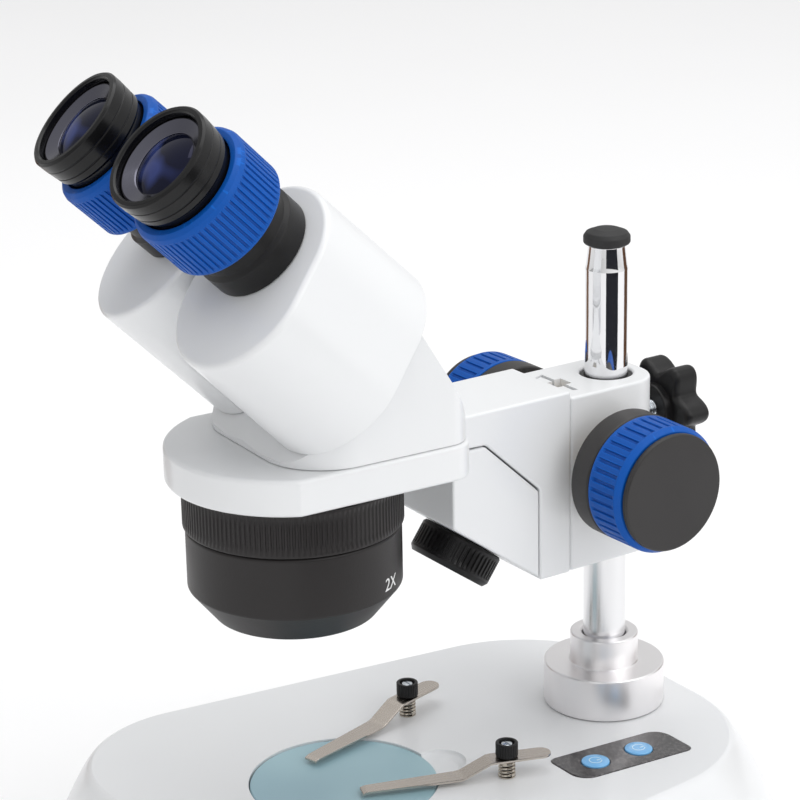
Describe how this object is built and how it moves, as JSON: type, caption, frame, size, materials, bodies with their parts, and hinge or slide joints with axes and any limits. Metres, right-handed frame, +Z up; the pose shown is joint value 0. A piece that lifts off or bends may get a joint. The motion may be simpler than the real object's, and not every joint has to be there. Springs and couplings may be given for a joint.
{
  "type": "stereo microscope",
  "caption": "Stereo microscope: tilted binocular head over a turret, on a focus arm that slides on a pillar above a lit base with spring clips.",
  "frame": {"origin": "middle of the footprint, on the surface the rubber feet stand on", "axes": "+Z up, -Y towards the user at the eyepieces, +X to the user's right"},
  "size_m": [0.2124, 0.264, 0.3112],
  "materials": {
    "white_paint": "off-white satin paint",
    "black_plastic": "warm near-black, fine grain",
    "blue_grip": "royal blue, ribbed",
    "pillar_chrome": "polished",
    "turned_aluminium": "turned, satin",
    "spring_steel": "brushed",
    "zinc_steel": "zinc plated",
    "turned_brass": "turned",
    "frosted_glass": "frosted, pale blue",
    "optical_glass": "coated, violet bloom",
    "panel_film": "dark grey film",
    "button_film": "light blue",
    "rubber_foot": "matte black",
    "inner_plastic": "white"
  },
  "bodies": {
    "base": {"base_shell": "white_paint", "bottom_plate": "panel_film", "foot_front_left": "rubber_foot", "foot_front_right": "rubber_foot", "foot_rear_left": "rubber_foot", "foot_rear_right": "rubber_foot", "stage_plate": "frosted_glass", "stage_lamp": "inner_plastic", "battery_pack": "black_plastic", "power_inlet": "black_plastic", "control_panel": "panel_film", "pillar_flange": "turned_aluminium", "pillar": "pillar_chrome", "pillar_cap": "rubber_foot", "pillar_bolt": "zinc_steel"},
    "top_lamp_button": {"button_top_lamp": "button_film"},
    "stage_lamp_button": {"button_stage_lamp": "button_film"},
    "height_bush": {"pillar_bush": "black_plastic"},
    "block": {"focus_block": "white_paint", "shaft_bush_left": "turned_brass", "shaft_bush_right": "turned_brass"},
    "clamp": {"clamp_stud": "zinc_steel", "clamp_knob": "black_plastic"},
    "carriage": {"focus_arm": "white_paint", "rack": "turned_brass", "lamp_housing": "white_paint", "head_plate": "white_paint", "head_body": "white_paint"},
    "lamp_shade": {"lamp_barrel": "black_plastic", "lamp_lens": "optical_glass"},
    "focus_drive": {"pinion_shaft": "zinc_steel", "focus_knob_left": "black_plastic", "focus_knob_right": "black_plastic", "focus_grip_left": "blue_grip", "focus_grip_right": "blue_grip"},
    "turret": {"turret_body": "black_plastic", "turret_grip": "black_plastic", "objective_low_left": "optical_glass", "objective_low_right": "optical_glass", "objective_high_front": "optical_glass", "objective_high_rear": "optical_glass"},
    "prism_left": {"prism_housing_left": "white_paint", "prism_block_left": "optical_glass", "eyepiece_tube_left": "black_plastic"},
    "eyepiece_left": {"eyepiece_barrel_left": "black_plastic", "eye_lens_left": "optical_glass"},
    "eyepiece_ring_left": {"eyepiece_grip_left": "blue_grip"},
    "clip_screw_left_body": {"clip_screw_left": "black_plastic"},
    "clip_swivel_left": {"clip_spring_left": "spring_steel"},
    "clip_left": {"clip_arm_left": "spring_steel"},
    "prism_right": {"prism_housing_right": "white_paint", "prism_block_right": "optical_glass", "eyepiece_tube_right": "black_plastic"},
    "eyepiece_right": {"eyepiece_barrel_right": "black_plastic", "eye_lens_right": "optical_glass"},
    "eyepiece_ring_right": {"eyepiece_grip_right": "blue_grip"},
    "clip_screw_right_body": {"clip_screw_right": "black_plastic"},
    "clip_swivel_right": {"clip_spring_right": "spring_steel"},
    "clip_right": {"clip_arm_right": "spring_steel"}
  },
  "joints": [
    {"name": "top_lamp_button_press", "type": "slide", "parent": "base", "child": "top_lamp_button", "axis": [0, 0, -1], "range_m": [0, 0.0006], "stiffness_N_per_m": 400},
    {"name": "stage_lamp_button_press", "type": "slide", "parent": "base", "child": "stage_lamp_button", "axis": [0, 0, -1], "range_m": [0, 0.0006], "stiffness_N_per_m": 400},
    {"name": "height_slide", "type": "slide", "parent": "base", "child": "height_bush", "axis": [0, 0, 1], "range_m": [-0.02, 0.035]},
    {"name": "block_swing", "type": "hinge", "parent": "height_bush", "child": "block", "pos_m": [0, 0.08, 0.1132], "axis": [0, 0, 1], "range_deg": [-30, 30]},
    {"name": "clamp_turn", "type": "hinge", "parent": "block", "child": "clamp", "pos_m": [0, 0.08, 0.1615], "axis": [0, 1, 0], "range_deg": [-180, 180]},
    {"name": "focus_slide", "type": "slide", "parent": "block", "child": "carriage", "axis": [0, 0, 1], "range_m": [-0.02, 0.02]},
    {"name": "focus_knob_turn", "type": "hinge", "parent": "block", "child": "focus_drive", "pos_m": [0, 0.0653, 0.1526], "axis": [1, 0, 0], "range_deg": [-305, 305]},
    {"name": "lamp_shade_turn", "type": "hinge", "parent": "carriage", "child": "lamp_shade", "pos_m": [0, 0.0145, 0.12982], "axis": [0, -0.5877, -0.8091], "range_deg": [-90, 90]},
    {"name": "turret_turn", "type": "hinge", "parent": "carriage", "child": "turret", "pos_m": [0, -0.0572, 0.1699], "axis": [0, 0, 1], "range_deg": [-90, 90]},
    {"name": "prism_swing_left", "type": "hinge", "parent": "carriage", "child": "prism_left", "pos_m": [-0.0301, -0.09117, 0.2486], "axis": [-0.1183, -0.7121, 0.692], "range_deg": [0, 27]},
    {"name": "eyepiece_travel_left", "type": "slide", "parent": "prism_left", "child": "eyepiece_left", "axis": [-0.1183, -0.7121, 0.692], "range_m": [0, 0.005]},
    {"name": "eyepiece_ring_turn_left", "type": "hinge", "parent": "eyepiece_left", "child": "eyepiece_ring_left", "pos_m": [-0.02716, -0.10058, 0.28132], "axis": [-0.1183, -0.7121, 0.692], "range_deg": [-5, 305]},
    {"name": "clip_screw_turn_left", "type": "hinge", "parent": "base", "child": "clip_screw_left_body", "pos_m": [-0.032, 0.0102, 0.048], "axis": [0, 0, 1], "range_deg": [-180, 180]},
    {"name": "clip_swing_left", "type": "hinge", "parent": "base", "child": "clip_swivel_left", "pos_m": [-0.032, 0.0102, 0.048], "axis": [0, 0, 1], "range_deg": [-20, 35]},
    {"name": "clip_lift_left", "type": "hinge", "parent": "clip_swivel_left", "child": "clip_left", "pos_m": [-0.032, 0.0102, 0.055], "axis": [-0.9681, -0.2504, 0], "range_deg": [0, 4], "stiffness_Nm_per_rad": 0.3, "springref_deg": -1.15},
    {"name": "prism_swing_right", "type": "hinge", "parent": "carriage", "child": "prism_right", "pos_m": [0.02681, -0.09093, 0.24596], "axis": [0.0558, -0.7197, 0.692], "range_deg": [-27, 0]},
    {"name": "eyepiece_travel_right", "type": "slide", "parent": "prism_right", "child": "eyepiece_right", "axis": [0.0558, -0.7197, 0.692], "range_m": [0, 0.005]},
    {"name": "eyepiece_ring_turn_right", "type": "hinge", "parent": "eyepiece_right", "child": "eyepiece_ring_right", "pos_m": [0.02306, -0.10005, 0.27869], "axis": [0.0558, -0.7197, 0.692], "range_deg": [-5, 305]},
    {"name": "clip_screw_turn_right", "type": "hinge", "parent": "base", "child": "clip_screw_right_body", "pos_m": [0.032, 0.0102, 0.048], "axis": [0, 0, 1], "range_deg": [-180, 180]},
    {"name": "clip_swing_right", "type": "hinge", "parent": "base", "child": "clip_swivel_right", "pos_m": [0.032, 0.0102, 0.048], "axis": [0, 0, 1], "range_deg": [-35, 20]},
    {"name": "clip_lift_right", "type": "hinge", "parent": "clip_swivel_right", "child": "clip_right", "pos_m": [0.032, 0.0102, 0.055], "axis": [-0.9397, 0.342, 0], "range_deg": [0, 4], "stiffness_Nm_per_rad": 0.3, "springref_deg": -1.15}
  ],
  "couplings": [
    {"joint": "focus_knob_turn", "follows": "focus_slide", "rad_per_m": -261.8},
    {"joint": "eyepiece_ring_turn_left", "follows": "eyepiece_travel_left", "rad_per_m": 1047.2},
    {"joint": "eyepiece_ring_turn_right", "follows": "eyepiece_travel_right", "rad_per_m": 1047.2},
    {"joint": "prism_swing_right", "follows": "prism_swing_left", "ratio": -1}
  ]
}
